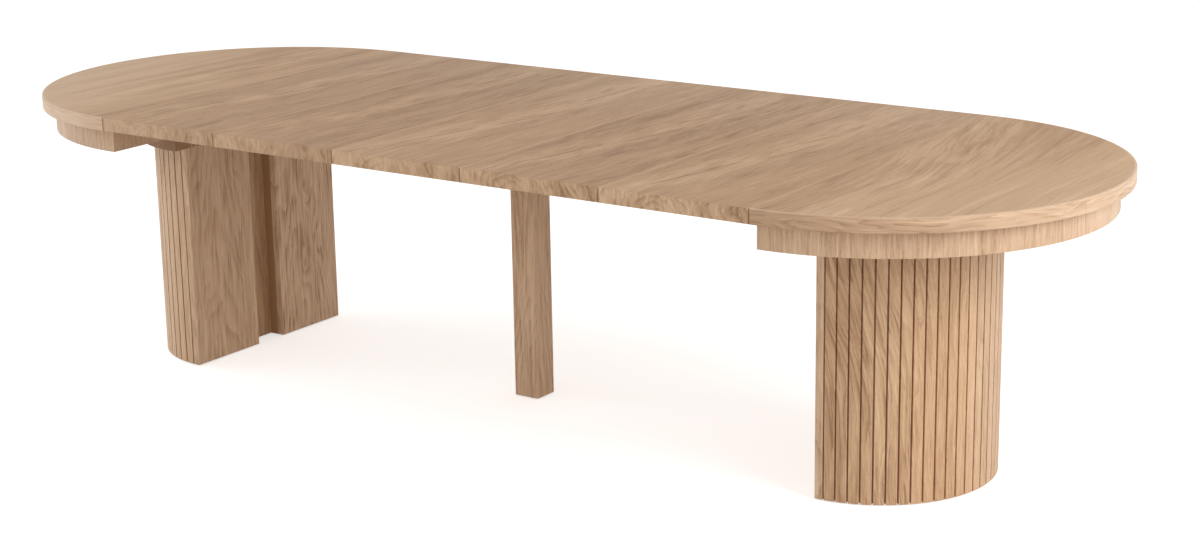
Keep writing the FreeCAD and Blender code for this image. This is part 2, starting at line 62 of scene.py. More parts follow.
# How wide and how long each feature of the wood is, in metres. The same goes for the slow
# noises below that end in FIGURE, PATCH or WAVE
BAND = (0.05, 0.9)
STREAK = (0.008, 0.17)
FIBRE = (0.0022, 0.05)
PORE = (0.0009, 0.014)
WANDER = (0.10, 0.24)
CLEAR = (0.05, 0.22)
DASH = (0.005, 0.06)

# How much detail a noise has, and how rough it is
SMOOTH = 1.0
FINE = 3.0
STREAK_NOISE = (FINE, 0.6)
FIBRE_NOISE = (FINE, 0.65)
LOOP_NOISE = (1.5, 0.45)
MIDDLE = 0.5

# Which part of a noise shows as a mark. It is a range, like many values below: where a change
# starts and ends, and the value before and after it, or else 0 and 1
CLEAR_SHOWS = (0.34, 0.60, 0.25, 1.0)
PORE_SHOWS = (0.58, 0.72)
DASH_SHOWS = (0.66, 0.76)

# How far in depth a noise lies from the others of the same wood
CLEAR_SHIFT = 3
DASH_SHIFT = 9

# How far the fibres stray, how much they fray the rings, the mean of a ring, and the pores
# that stand in a ring and between two
WANDER_REACH = 0.022
RING_FRAY = 0.8
RING_MEAN = 0.2
PORES_IN_RING = 0.6
PORES_BETWEEN = 0.4

# The surface of the wood: oiled, with open pores
ROUGHNESS = 0.60
RING_ROUGHNESS = 0.05
PORE_ROUGHNESS = 0.12
STREAK_ROUGHNESS = 0.10
REFRACTION = 1.46
GLOSS = 0.35
RELIEF = 0.5
RELIEF_HEIGHT = 0.0004
PORE_RELIEF = 0.9
RING_RELIEF = 0.3

# A surface faces along an axis when that part of its normal is above this
FACES = 0.6


class Look(NamedTuple):
    """How strongly each feature of the wood shows: a number, or one that varies."""

    band: Any
    streak: Any
    fibre: Any
    ring: Any
    pore: Any
    dash: Any = 0.0


def srgb(red, green, blue):
    """A colour given as 0 to 255 in sRGB, as the shader wants it."""

    def linear(value):
        share = value / 255
        return share / 12.92 if share <= 0.04045 else ((share + 0.055) / 1.055) ** 2.4

    return (linear(red), linear(green), linear(blue), 1)


class Field:
    """A number that varies over a surface. Sums with it add Math nodes."""

    def __init__(self, tree, socket):
        self.tree = tree
        self.socket = socket

    def run(self, operation, *others):
        """This number and others put through one Math node."""
        node = self.tree.nodes.new("ShaderNodeMath")
        node.operation = operation
        for socket, value in zip(node.inputs, (self, *others)):
            plug(self.tree, socket, value)
        return Field(self.tree, node.outputs["Value"])

    def __add__(self, other):
        return self.run("ADD", other)

    def __sub__(self, other):
        return self.run("SUBTRACT", other)

    def __mul__(self, other):
        return self.run("MULTIPLY", other)

    def __truediv__(self, other):
        return self.run("DIVIDE", other)

    def floor(self):
        """The whole part."""
        return self.run("FLOOR")

    def fraction(self):
        """What is left above the whole part."""
        return self.run("FRACT")

    def size(self):
        """Without its sign."""
        return self.run("ABSOLUTE")

    def power(self, exponent):
        """Raised to a power."""
        return self.run("POWER", exponent)

    def above(self, limit):
        """1 where it is above the limit, else 0."""
        return self.run("GREATER_THAN", limit)

    def least(self, other):
        """The smaller of two."""
        return self.run("MINIMUM", other)

    def most(self, other):
        """The larger of two."""
        return self.run("MAXIMUM", other)

    def flipped(self):
        """What it lacks to 1."""
        return self * -1 + 1

    def spread(self, low, high, start=0.0, end=1.0):
        """Moved from low..high to start..end with soft ends, and held there."""
        node = self.tree.nodes.new("ShaderNodeMapRange")
        node.interpolation_type = "SMOOTHSTEP"
        for name, value in (
            ("Value", self),
            ("From Min", low),
            ("From Max", high),
            ("To Min", start),
            ("To Max", end),
        ):
            plug(self.tree, node.inputs[name], value)
        return Field(self.tree, node.outputs["Result"])

    def toward(self, other, share):
        """This number moved a share of the way to another."""
        node = self.tree.nodes.new("ShaderNodeMix")
        node.data_type = "FLOAT"
        plug(self.tree, node.inputs[0], share)
        plug(self.tree, node.inputs[2], self)
        plug(self.tree, node.inputs[3], other)
        return Field(self.tree, node.outputs[0])


def plug(tree, socket, value):
    """Link a field or a socket to an input, or set the input to a plain value."""
    if isinstance(value, Field):
        value = value.socket
    if isinstance(value, bpy.types.NodeSocket):
        tree.links.new(value, socket)
    else:
        socket.default_value = value


def distance(first, second):
    """How far a point lies from where both numbers are 0."""
    return (first * first + second * second).power(0.5)


def new_material(name):
    """A material and its node tree."""
    material = bpy.data.materials.new(name)
    material.use_nodes = True
    return material, material.node_tree


def three(tree, output):
    """The three parts of one output of the texture coordinates."""
    source = tree.nodes.new("ShaderNodeTexCoord")
    split = tree.nodes.new("ShaderNodeSeparateXYZ")
    tree.links.new(source.outputs[output], split.inputs[0])
    return [Field(tree, socket) for socket in split.outputs]


def place(tree):
    """Where a point is, at rest, in metres."""
    return three(tree, "Object")


def facing(tree):
    """Which way the surface faces."""
    return three(tree, "Normal")


def speckle(tree, x, y, z, detail=2.0, rough=0.5):
    """Soft noise between 0 and 1."""
    joined = tree.nodes.new("ShaderNodeCombineXYZ")
    for socket, value in zip(joined.inputs, (x, y, z)):
        plug(tree, socket, value)
    noise = tree.nodes.new("ShaderNodeTexNoise")
    noise.inputs["Scale"].default_value = 1
    noise.inputs["Detail"].default_value = detail
    noise.inputs["Roughness"].default_value = rough
    tree.links.new(joined.outputs[0], noise.inputs["Vector"])
    return Field(tree, noise.outputs[0])


def chance(tree, number):
    """A number between 0 and 1 drawn for each whole number."""
    noise = tree.nodes.new("ShaderNodeTexWhiteNoise")
    noise.noise_dimensions = "1D"
    plug(tree, noise.inputs["W"], number)
    return Field(tree, noise.outputs["Value"])


def cells(tree, number):
    """A number between 0 and 1 for each of many uneven strips along a line."""
    voronoi = tree.nodes.new("ShaderNodeTexVoronoi")
    voronoi.voronoi_dimensions = "1D"
    voronoi.inputs["Scale"].default_value = 1
    plug(tree, voronoi.inputs["W"], number)
    split = tree.nodes.new("ShaderNodeSeparateColor")
    tree.links.new(voronoi.outputs["Color"], split.inputs[0])
    return Field(tree, split.outputs[0])


def colours(tree, number, stops):
    """A colour for a number between 0 and 1, from (place, colour) stops."""
    ramp = tree.nodes.new("ShaderNodeValToRGB")
    ramp.color_ramp.interpolation = "EASE"
    elements = ramp.color_ramp.elements
    while len(elements) < len(stops):
        elements.new(MIDDLE)
    for element, (spot, colour) in zip(elements, stops):
        element.position = spot
        element.color = srgb(*colour)
    plug(tree, ramp.inputs[0], number)
    return ramp.outputs[0]


def blend(tree, share, first, second):
    """Two colours mixed."""
    node = tree.nodes.new("ShaderNodeMix")
    node.data_type = "RGBA"
    plug(tree, node.inputs[0], share)
    plug(tree, node.inputs[6], first)
    plug(tree, node.inputs[7], second)
    return node.outputs[2]


def grain(tree, size, across, along, depth, detail=2.0, rough=0.5):
    """Noise drawn out along the fibres: size is its width and its length."""
    width, length = size
    return speckle(tree, across / width, along / length, depth / width, detail, rough)


def wander(tree, across, along, depth, reach=WANDER_REACH, size=WANDER):
    """The place across the fibres, with the fibres no longer quite straight."""
    return across + (grain(tree, size, across, along, depth, SMOOTH) - MIDDLE) * reach


def loops(tree, across, along, depth, size, count):
    """Ring numbers that run in long closed loops, as on a board sawn along the rings."""
    return grain(tree, size, across, along, depth, *LOOP_NOISE) * count


def oak(
    tree,
    across,
    along,
    depth,
    rings,
    look,
    tone,
    wear_and_highlight=None,
    joint=None,
    stops=OAK_STOPS,
    groove_shade_colour=None,
    painted_grey_light=None,
    sheen=0.0,
):
    """Wood whose fibres run along one coordinate.

    rings numbers its growth rings, and tone lightens it. The share that pales the colour is wear,
    and also a painted highlight along seams and arrises. The share that darkens it is a dark
    knot, vein or joint, and also painted shade in seams and grooves, with a colour of its own in
    the grooves. The share that greys it is painted light: a greyer colour for the light that
    falls there. sheen whitens what is seen edge-on.
    """
    band = grain(tree, BAND, across, along, depth) - MIDDLE
    streak = grain(tree, STREAK, across, along, depth, *STREAK_NOISE) - MIDDLE
    fibre = grain(tree, FIBRE, across, along, depth, *FIBRE_NOISE) - MIDDLE
    clear = grain(tree, CLEAR, across, along, depth + CLEAR_SHIFT, SMOOTH).spread(*CLEAR_SHOWS)
    ring = (rings + fibre * RING_FRAY).fraction().power(2) * clear
    pore = grain(tree, PORE, across, along, depth, SMOOTH).spread(*PORE_SHOWS)
    pore = pore * (ring * PORES_IN_RING + PORES_BETWEEN)
    shade = band * look.band + streak * look.streak + fibre * look.fibre
    shade = shade - (ring - RING_MEAN) * look.ring + tone + MIDDLE
    colour = colours(tree, shade, stops)
    # Painted light: greyer where a sheen or a cooler light is painted in
    if painted_grey_light is not None:
        colour = blend(tree, painted_grey_light, colour, colours(tree, shade, GREY_OAK_STOPS))
    colour = blend(tree, pore * look.pore, colour, srgb(*PORE_BROWN))
    if look.dash:
        dash = grain(tree, DASH, across, along, depth + DASH_SHIFT).spread(*DASH_SHOWS)
        colour = blend(tree, dash * look.dash, colour, srgb(*PORE_BROWN))
    # Paler where worn, and where a highlight is painted along a seam or an arris
    if wear_and_highlight is not None:
        colour = blend(tree, wear_and_highlight, colour, srgb(*OAK_PALE))
    # Darker at knots, veins and joints, and where shade is painted in seams and grooves
    if joint is not None:
        colour = blend(tree, joint, colour, groove_shade_colour or srgb(*JOINT_BROWN))
    shader = tree.nodes["Principled BSDF"]
    plug(tree, shader.inputs["Base Color"], colour)
    rough = ring * RING_ROUGHNESS + pore * PORE_ROUGHNESS - streak * STREAK_ROUGHNESS
    plug(tree, shader.inputs["Roughness"], rough + ROUGHNESS)
    shader.inputs["IOR"].default_value = REFRACTION
    shader.inputs["Specular IOR Level"].default_value = GLOSS
    shader.inputs["Sheen Weight"].default_value = sheen
    bump = tree.nodes.new("ShaderNodeBump")
    bump.inputs["Strength"].default_value = RELIEF
    bump.inputs["Distance"].default_value = RELIEF_HEIGHT
    plug(tree, bump.inputs["Height"], fibre - pore * PORE_RELIEF - ring * RING_RELIEF)
    plug(tree, shader.inputs["Normal"], bump.outputs[0])


def worn_edge(tree, node, width, share):
    """A share along the edges of a box-shaped board, and 0 on its faces."""
    low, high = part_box(node)
    gaps = []
    for value, start, end in zip(place(tree), low, high):
        gaps.append((value - start).size().least((value - end).size()))
    x, y, z = gaps
    nearest = x.most(y).least(y.most(z)).least(x.most(z))
    return nearest.spread(0.0, width, 1.0, 0.0) * share


def end_frame(tree, side):
    """Across, outward and up for one end of the table: outward is away from the seam."""
    x, y, z = place(tree)
    return y, x * SIDES[side] - SEAM_X, z


def polar(tree, side):
    """How far round the end's axis a point is, in radians from the front seam, and its radius."""
    across, outward, _ = end_frame(tree, side)
    turn = (outward.run("ARCTAN2", across) - math.pi) * -1
    return turn, distance(across, outward)


def dress(node, material):
    """Give a piece its material."""
    for slot in NODES[node].material_slots:
        slot.link = "OBJECT"
        slot.material = material


EASE_WELD = 0.00001
EASE_SEGMENTS = 2
EASE_ANGLE = math.radians(40)


def round_edges(node, width):
    """Ease the sharp edges of a piece, and keep its flat faces flat."""
    weld = NODES[node].modifiers.new("weld", "WELD")
    weld.merge_threshold = EASE_WELD
    bevel = NODES[node].modifiers.new("ease", "BEVEL")
    bevel.width = width
    bevel.segments = EASE_SEGMENTS
    bevel.limit_method = "ANGLE"
    bevel.angle_limit = EASE_ANGLE
    flat = NODES[node].modifiers.new("flat", "WEIGHTED_NORMAL")
    flat.keep_sharp = True


# The table top. Its fibres run across the table. The leaves are cut from like boards, each a
# little farther along and deeper in, and a pale streak crosses each of them on a bend. Away from
# the viewer they are painted greyer, a painted sheen for the top seen at a grazing angle
TOP_LOOK = Look(band=0.6, streak=0.65, fibre=0.4, ring=0.12, pore=0.25, dash=0.4)
TOP_TONE = -0.09
TOP_RING = 0.026
TOP_SHORTEN = 1.5
TOP_FIGURE = (0.05, 0.3)
TOP_LOOPS = 4
TOP_WANDER = 0.034
LEAF_TONES = (0.0, -0.06, 0.06, -0.06, 0.04)
LEAF_SHIFT = 0.07
LEAF_DEPTH = 0.004
PLAIN_LEAF = 2
FAR_SHEEN_GREY = (-0.1, 0.55, 0.0, 0.7)

# The pale streak: its place across the leaf as it goes along, its width, what it adds inside
# and what the whole leaf gets, and the patches that it comes and goes in. Its streaks and its
# rings are bolder
PALE_PATH = (-0.75, 0.25, 0.060, 0.195)
PALE_REACH = (0.01, 0.10, 1.0, 0.0)
PALE_TONE = (0.24, -0.08)
PALE_PATCH = (0.045, 0.13)
PALE_SHOWS = (0.36, 0.60, 0.3, 1.0)
PALE_STREAK = 0.4
PALE_RING = 0.18

# Short dark lines beside the streak: how far from it, and from where to where along the leaf
VEINS = ((0.022, -0.16, 0.05), (0.004, -0.52, -0.22))
VEIN_WIDTH = (0.0012, 0.0040, 0.55, 0.0)
VEIN_FADE = 0.04

# The front and back edges show the ends of the fibres, with rings about a point below them.
# The plain leaf has that point far away, so that its rings stand upright, and has no veins.
# The strengths, and the greys painted on the edges for the cooler light there, are those of leaf
# 1 to leaf 5, as the tones above are
EDGE_LOOK = Look(band=1.5, streak=1.2, fibre=0.3, ring=0.42, pore=0.2)
EDGE_STRENGTH = (0.6, 0.65, 0.9, 1.05, 1.15)
EDGE_PAINTED_GREY = (1.0, 0.8, 0.4, 0.4, 0.5)
EDGE_TONE = 0.0
EDGE_SQUEEZE = 4
EDGE_AXIS = 0.155
FAR_AWAY = 2.0
EDGE_RING = 0.019
EDGE_CENTRE_DROP = 0.018
EDGE_WAVE = (0.04, 0.05)
EDGE_FRAY = 2.4

# Where two tops meet, the upper edges are painted pale, a painted highlight where the eased edge
# catches the light, with some wear, and the joint on the side is darkened with painted shade and
# some dirt
SEAM_HIGHLIGHT_AND_WEAR = (0.0005, 0.0036, 0.6, 0.0)
SEAM_SHADE_AND_DIRT = (0.0008, 0.0024, 0.75, 0.0)


def top_rings(tree, across, along, depth):
    """The rings of the top: lines along the fibres, bent by slow noise."""
    return across / TOP_RING + loops(tree, across, along, depth, TOP_FIGURE, TOP_LOOPS)


def vein(across, along, spot, start, end):
    """1 on a short dark line along the fibres."""
    line = (across - spot).size().spread(*VEIN_WIDTH)
    begun = along.spread(start, start + VEIN_FADE)
    return line * (begun * along.spread(end, end + VEIN_FADE, 1.0, 0.0))


def edge_rings(tree, across, up, depth, axis):
    """The rings on a leaf's edge: circles about a point below it."""
    drop = up - (TOP_UNDERSIDE_Z - EDGE_CENTRE_DROP)
    wide, high = EDGE_WAVE
    wave = speckle(tree, across / wide, up / high, depth) - MIDDLE
    return distance(across - axis, drop) / EDGE_RING + wave * EDGE_FRAY


def leaf_wood(name):
    """Oak for one leaf."""
    number = int(name.split("_")[1])
    plain = number == PLAIN_LEAF
    material, tree = new_material(name + "_oak")
    x, y, z = place(tree)
    low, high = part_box(name)
    front = facing(tree)[1].size().above(FACES)
    flat = front.flipped()
    along = y + (z - TOP_Z) * front * EDGE_SQUEEZE + number * LEAF_SHIFT
    depth = z.toward(TOP_Z, front) + number * LEAF_DEPTH
    local = wander(tree, x - low.x, along, depth, TOP_WANDER)
    bent = local - y.spread(*PALE_PATH)
    patch = grain(tree, PALE_PATCH, bent, along, depth).spread(*PALE_SHOWS)
    pale = bent.size().spread(*PALE_REACH) * patch
    axis = FAR_AWAY if plain else EDGE_AXIS
    rings = top_rings(tree, bent, along, depth)
    rings = rings.toward(edge_rings(tree, local, z, depth, axis), front)
    seam = (x - low.x).size().least((x - high.x).size())
    # Along the seams: a painted highlight with some wear on the top, and painted shade with some
    # dirt on the front and back edges
    seam_highlight_and_wear = seam.spread(*SEAM_HIGHLIGHT_AND_WEAR) * flat
    dark = seam.spread(*SEAM_SHADE_AND_DIRT) * front
    for spot, start, end in () if plain else VEINS:
        dark = dark.most(vein(bent, y, spot, start, end))
    top_look = TOP_LOOK._replace(
        streak=pale * PALE_STREAK + TOP_LOOK.streak, ring=pale * PALE_RING + TOP_LOOK.ring
    )
    strength = front * EDGE_STRENGTH[number - 1]
    look = Look(*(flat * top + strength * edge for top, edge in zip(top_look, EDGE_LOOK)))
    bright, dull = PALE_TONE
    tone = front * (EDGE_TONE - TOP_TONE) + TOP_TONE + LEAF_TONES[number - 1]
    tone = tone + pale * bright + dull
    # Painted light: the edges greyed for their cooler light, and the top greyed away from the
    # viewer as a painted sheen
    painted_grey_share = front * EDGE_PAINTED_GREY[number - 1] + flat * y.spread(*FAR_SHEEN_GREY)
    oak(tree, local, along * TOP_SHORTEN, depth, rings, look, tone, seam_highlight_and_wear, dark, painted_grey_light=painted_grey_share)
    return material


# The half-round tops. Their pale streak bends too, and straightens outward. Toward the rim they
# are painted paler, and the left one greyer, as painted light, by how far outward a point is and,
# by the lean, how far to the front
END_LOOK = Look(band=1.1, streak=0.6, fibre=0.25, ring=0.10, pore=0.25, dash=0.5)
END_DEPTH = 5
END_PATH = {"left": (-0.6, 0.6, 0.24, 0.17), "right": (-0.3, 0.9, 0.19, -0.01)}
END_STRAIGHT = (0.2, 0.5, 1.0, 0.0)
END_REACH = (0.02, 0.16, 1.0, 0.0)
END_PATCH = (0.05, 0.14)
END_SHOWS = (0.36, 0.60, 0.2, 1.0)
END_STREAK = {"left": 0.6, "right": 0.55}
END_RING = {"left": 0.14, "right": 0.10}
END_TONE = (0.22, -0.09)
END_RIM_LIGHT = {"left": (0.1, 0.65, 0.03, 0.62), "right": (-0.2, 0.75, -0.1, 0.36)}
END_LEAN = -0.35
END_LIGHT_GREY = {"left": 1.0, "right": 0.0}


def panel_top_wood(side):
    """Oak for the half-round top, with its fibres across the table."""
    material, tree = new_material(side + "_top_oak")
    y, outward, z = end_frame(tree, side)
    depth = z + END_DEPTH + SIDES[side]
    bend = y.spread(*END_PATH[side]) * outward.spread(*END_STRAIGHT)
    across = wander(tree, outward, y, depth, TOP_WANDER) - bend
    rings = top_rings(tree, across, y, depth)
    patch = grain(tree, END_PATCH, across, y, depth).spread(*END_SHOWS)
    bold = across.size().spread(*END_REACH) * patch
    look = END_LOOK._replace(
        streak=bold * END_STREAK[side] + END_LOOK.streak,
        ring=bold * END_RING[side] + END_LOOK.ring,
    )
    bright, base = END_TONE
    # Painted light: paler toward the rim, and greyer on the left
    rim_light = (outward + y * END_LEAN).spread(*END_RIM_LIGHT[side])
    # A painted highlight with some wear along the seam's upper edge
    pale = outward.spread(*SEAM_HIGHLIGHT_AND_WEAR)
    tone = rim_light + bold * bright + base
    oak(tree, across, y, depth, rings, look, tone, wear_and_highlight=pale, painted_grey_light=rim_light * END_LIGHT_GREY[side])
    return material


# The edge band. Its strength, and its painted light and shade, go by how far round the end it is,
# in radians. Its upper arris is painted pale, a painted highlight with some wear
BAND_LOOK = Look(band=0.9, streak=1.7, fibre=0.6, ring=0.55, pore=0.35)
BAND_STRENGTH = {"left": (0.3, 1.3, 0.5, 0.6), "right": (0.3, 1.3, 0.58, 0.8)}
BAND_PAINTED_LIGHT = {"left": (0.0, 0.9, 0.38, 0.45), "right": (0.05, 1.6, -0.22, 0.24)}
BAND_DEPTH = 7
BAND_WAVE = (0.06, 0.16)
BAND_WANDER = 0.03
BAND_FIGURE = (0.022, 0.26)
BAND_LOOPS = 7
BAND_ARRIS_HIGHLIGHT = (0.0, 0.0035, 0.55, 0.0)
ROUND_SHEEN = 0.25


def band_wood(side):
    """Oak for the edge band, with its fibres along the rim."""
    material, tree = new_material(side + "_band_oak")
    _, outward, up = end_frame(tree, side)
    turn, _ = polar(tree, side)
    along = turn * TOP_RADIUS
    depth = BAND_DEPTH + SIDES[side]
    across = wander(tree, up, along, depth, BAND_WANDER, BAND_WAVE)
    rings = loops(tree, across, along, depth, BAND_FIGURE, BAND_LOOPS)
    strength = turn.spread(*BAND_STRENGTH[side])
    oak(
        tree,
        across,
        along,
        depth,
        rings,
        look=Look(*(strength * share for share in BAND_LOOK)),
        # Painted light and shade by how far round the band is
        tone=turn.spread(*BAND_PAINTED_LIGHT[side]),
        # A painted highlight with some wear along the upper arris
        wear_and_highlight=(up - TOP_Z).size().spread(*BAND_ARRIS_HIGHLIGHT),
        # Painted shade with some dirt where the band meets the top at the seam
        joint=outward.spread(*SEAM_SHADE_AND_DIRT),
        stops=GREY_OAK_STOPS,
        sheen=ROUND_SHEEN,
    )
    return material


# The apron and its cross rails, in upright strips and lines of varied shade. The right apron is
# painted paler near the seam and far round, in radians, as painted light
APRON_LOOK = Look(band=0.5, streak=1.3, fibre=1.0, ring=0.22, pore=0.4)
APRON_TONE = 0.06
APRON_NEAR_LIGHT = (0.15, 0.6, 0.1, 0.0)
APRON_FAR_LIGHT = (0.9, 1.6, 0.0, 0.2)
RAIL_TONE = 0.17
STRIP_WIDTH = 0.026
STRIP_SEED = 40
STRIP_SHADE = 0.14
LINE_WIDTH = 0.0055
LINE_SEED = 90
LINE_SHADE = 0.34
STRIP_DEPTH = 13.0
STRIP_WAVE = (0.012, 0.07)
STRIP_WANDER = 0.003
STRIP_SHORTEN = 1.5
STRIP_RING = 0.011


def strip_wood(name, side, curved):
    """Oak in upright strips of varied shade, for the apron and its cross rails."""
    material, tree = new_material(name + "_oak")
    across, outward, up = end_frame(tree, side)
    depth = outward + STRIP_DEPTH
    if curved:
        turn, _ = polar(tree, side)
        across = turn * APRON_RADIUS
        depth = STRIP_DEPTH + SIDES[side]
    bent = wander(tree, across, up, depth, STRIP_WANDER, STRIP_WAVE)
    strip = cells(tree, bent / STRIP_WIDTH + SIDES[side] * STRIP_SEED) - MIDDLE
    line = cells(tree, bent / LINE_WIDTH + SIDES[side] * LINE_SEED) - MIDDLE
    clear = grain(tree, CLEAR, across, up, depth, SMOOTH)
    tone = strip * STRIP_SHADE + line * LINE_SHADE * clear
    tone = tone + (APRON_TONE if curved else RAIL_TONE)
    # Painted light: the right apron paler near the seam and far round
    if curved and side == "right":
        tone = tone + turn.spread(*APRON_NEAR_LIGHT) + turn.spread(*APRON_FAR_LIGHT)
    oak(
        tree,
        bent,
        up * STRIP_SHORTEN,
        depth,
        bent / STRIP_RING,
        APRON_LOOK,
        tone,
        stops=GREY_OAK_STOPS,
        sheen=ROUND_SHEEN if curved else 0.0,
    )
    return material


# The slats. Their figure runs on from one to the next: it leans near the front seam and
# stands upright further round, and low down it leans less. How far round the drum they are is
# given in metres
SLAT_COUNT = 30
SLAT_GROOVE = 0.004
SLAT_SEED = 50
SLAT_DEPTH = 21
SLAT_DEPTH_SPREAD = 0.004
SLAT_WANDER = 0.03
SLAT_TURN = (0.13, 0.34)
SLAT_LEAN = (0.26, 0.04)
SLAT_LEAN_HEIGHT = 0.33
SLAT_UPRIGHT_BELOW = (0.02, 0.42, 0.35, 1.0)
SLAT_RING = 0.018
SLAT_FIGURE = (0.045, 0.34)
SLAT_LOOPS = 8
SLAT_LOOK = Look(band=0.9, streak=3.6, fibre=1.2, ring=1.0, pore=0.45)
SLAT_BOLD = {"left": 0.26, "right": 0.43}
SLAT_CALM = 0.22
# How far round the drum, in metres, the slats are painted lighter or darker, as painted light:
# painted shade on the right slats near the seam, and a painted highlight on the left slats
# further round
SLAT_PAINTED_LIGHT = {"left": (0.045, 0.075, -0.02, 0.18), "right": (0.08, 0.22, -0.12, 0.01)}
SLAT_VARIETY = 0.16
SLAT_SHEEN = {"left": 0.25, "right": 0.08}

# Far round the drum the right slats are painted paler and greyer, a painted sheen where they are
# seen edge-on, and their grooves get painted shade further out
SLAT_FAR = {"left": (0.34, 0.52, 0.0, 0.0), "right": (0.34, 0.52, 0.0, 1.0)}
FAR_SHEEN_TONE = 0.09
FAR_GROOVE_SHADE = (0.0022, 0.0003, 0.8, 0.0)

# The grooves get painted shade: how deep in it is darkest and how deep it starts, with how dark
# both are, and the colours of that shade near the seam and further round
GROOVE_SHADE = {"left": (0.0024, 0.0002, 0.9, 0.0), "right": (0.005, 0.0012, 0.6, 0.0)}
GROOVE_TURN = (0.2, 0.42)
GROOVE_SHADE_BROWN = {
    "left": ((130, 84, 50), (130, 84, 50)),
    "right": ((226, 152, 84), (160, 100, 54)),
}


def groove(radius, deep, shallow, dark, plain):
    """How much painted shade the inside of a groove gets: dark deep in, and plain near the
    surface.
    """
    return radius.spread(DRUM_RADIUS - deep, DRUM_RADIUS - shallow, dark, plain)


def slat_wood(side):
    """Oak for the slats, with painted shade inside the grooves between them and painted light by
    how far round the drum they are.
    """
    material, tree = new_material(side + "_slat_oak")
    up = place(tree)[2]
    turn, radius = polar(tree, side)
    start = math.asin((PANEL_OUTER_X - SEAM_X + SLAT_GROOVE / 2) / DRUM_RADIUS)
    step = (math.pi - 2 * start) / SLAT_COUNT
    slat = ((turn - start) / step).floor() + SIDES[side] * SLAT_SEED
    drawn = chance(tree, slat) - MIDDLE
    arc = turn * DRUM_RADIUS
    lean = arc.spread(*SLAT_TURN, *SLAT_LEAN) * up.spread(*SLAT_UPRIGHT_BELOW)
    depth = drawn * SLAT_DEPTH_SPREAD + (SLAT_DEPTH + SIDES[side])
    across = wander(tree, arc + (up - SLAT_LEAN_HEIGHT) * lean, up, depth, SLAT_WANDER)
    strong = arc.spread(*SLAT_TURN, SLAT_BOLD[side], SLAT_CALM)
    distant = arc.spread(*SLAT_FAR[side])
    near, far = GROOVE_SHADE_BROWN[side]
    oak(
        tree,
        across,
        up,
        depth,
        across / SLAT_RING + loops(tree, across, up, depth, SLAT_FIGURE, SLAT_LOOPS),
        look=SLAT_LOOK._replace(streak=strong * SLAT_LOOK.streak, ring=strong),
        # Painted light and sheen by how far round the drum, with a random tone for each slat
        tone=arc.spread(*SLAT_PAINTED_LIGHT[side]) + drawn * SLAT_VARIETY + distant * FAR_SHEEN_TONE,
        # Painted shade inside the grooves, reaching further out far round the right drum
        joint=groove(radius, *GROOVE_SHADE[side]).most(groove(radius, *FAR_GROOVE_SHADE) * distant),
        groove_shade_colour=blend(tree, arc.spread(*GROOVE_TURN), srgb(*near), srgb(*far)),
        painted_grey_light=distant,
        sheen=SLAT_SHEEN[side],
    )
    return material


# How wide the wear along the edges of a board is, and how strong
FACE_WEAR = (0.0012, 0.25)
LEG_WEAR = (0.0015, 0.25)
BOARD_WEAR = (0.0012, 0.3)

# The face panels stand either side of the recess. Their figure nests in arches, with a few
# knots: each knot has its place across the table, its height and its half-width
FACE_LOOK = Look(band=1.0, streak=1.7, fibre=0.6, ring=0.38, pore=0.35)
FACE_TONE = 0.16
FACE_ARCH_WIDTH = 0.055
FACE_ARCH_LENGTH = 0.11
FACE_FIGURE = (0.06, 0.34)
FACE_LOOPS = 5
KNOT_REACH = 0.045
KNOT_FLATTEN = 0.4
KNOT_RINGS = 1.8
KNOT_DARK = 0.4
KNOTS = {
    "left_back_face_panel": ((0.175, 0.436, 0.012), (0.163, 0.199, 0.012), (0.209, 0.268, 0.010)),
    "left_front_face_panel": ((-0.119, 0.583, 0.008),),
}


def face_wood(name, axis, seed, look):
    """Oak sawn near the heart, with upright fibres and any knots of its own."""
    material, tree = new_material(name + "_oak")
    x, y, z = place(tree)
    depth = x + seed
    across = wander(tree, y, z, depth)
    aside = (across - axis) / FACE_ARCH_WIDTH
    rings = aside * aside + z / FACE_ARCH_LENGTH
    rings = rings + loops(tree, across, z, depth, FACE_FIGURE, FACE_LOOPS)
    core = None
    for spot, height, half_width in KNOTS.get(name, ()):
        gap = distance(y - spot, (z - height) * KNOT_FLATTEN)
        rings = rings + gap.spread(0.0, KNOT_REACH, KNOT_RINGS, 0.0)
        dark = gap.spread(0.0, half_width, KNOT_DARK, 0.0)
        core = dark if core is None else core.most(dark)
    wear_and_highlight = worn_edge(tree, name, *FACE_WEAR)
    oak(tree, across, z, depth, rings, look, FACE_TONE, wear_and_highlight, core, GREY_OAK_STOPS)
    return material


# The leg: the ring at its heart bends about an axis near the front arris, and the faces toward
# the ends of the table are painted paler, as painted light
LEG_LOOK = Look(band=0.9, streak=1.8, fibre=0.7, ring=0.40, pore=0.4)
LEG_PAINTED_LIGHT = (0.4, 0.6, 0.04, 0.19)
LEG_DEPTH = 31.0
LEG_WANDER = 0.012
LEG_RING = 0.015
LEG_FIGURE = (0.03, 0.25)
LEG_LOOPS = 3
LEG_AXIS = -0.036
LEG_HEART = 0.013
LEG_ARCHES = (0.0, 0.38, 0.0, 4.5)


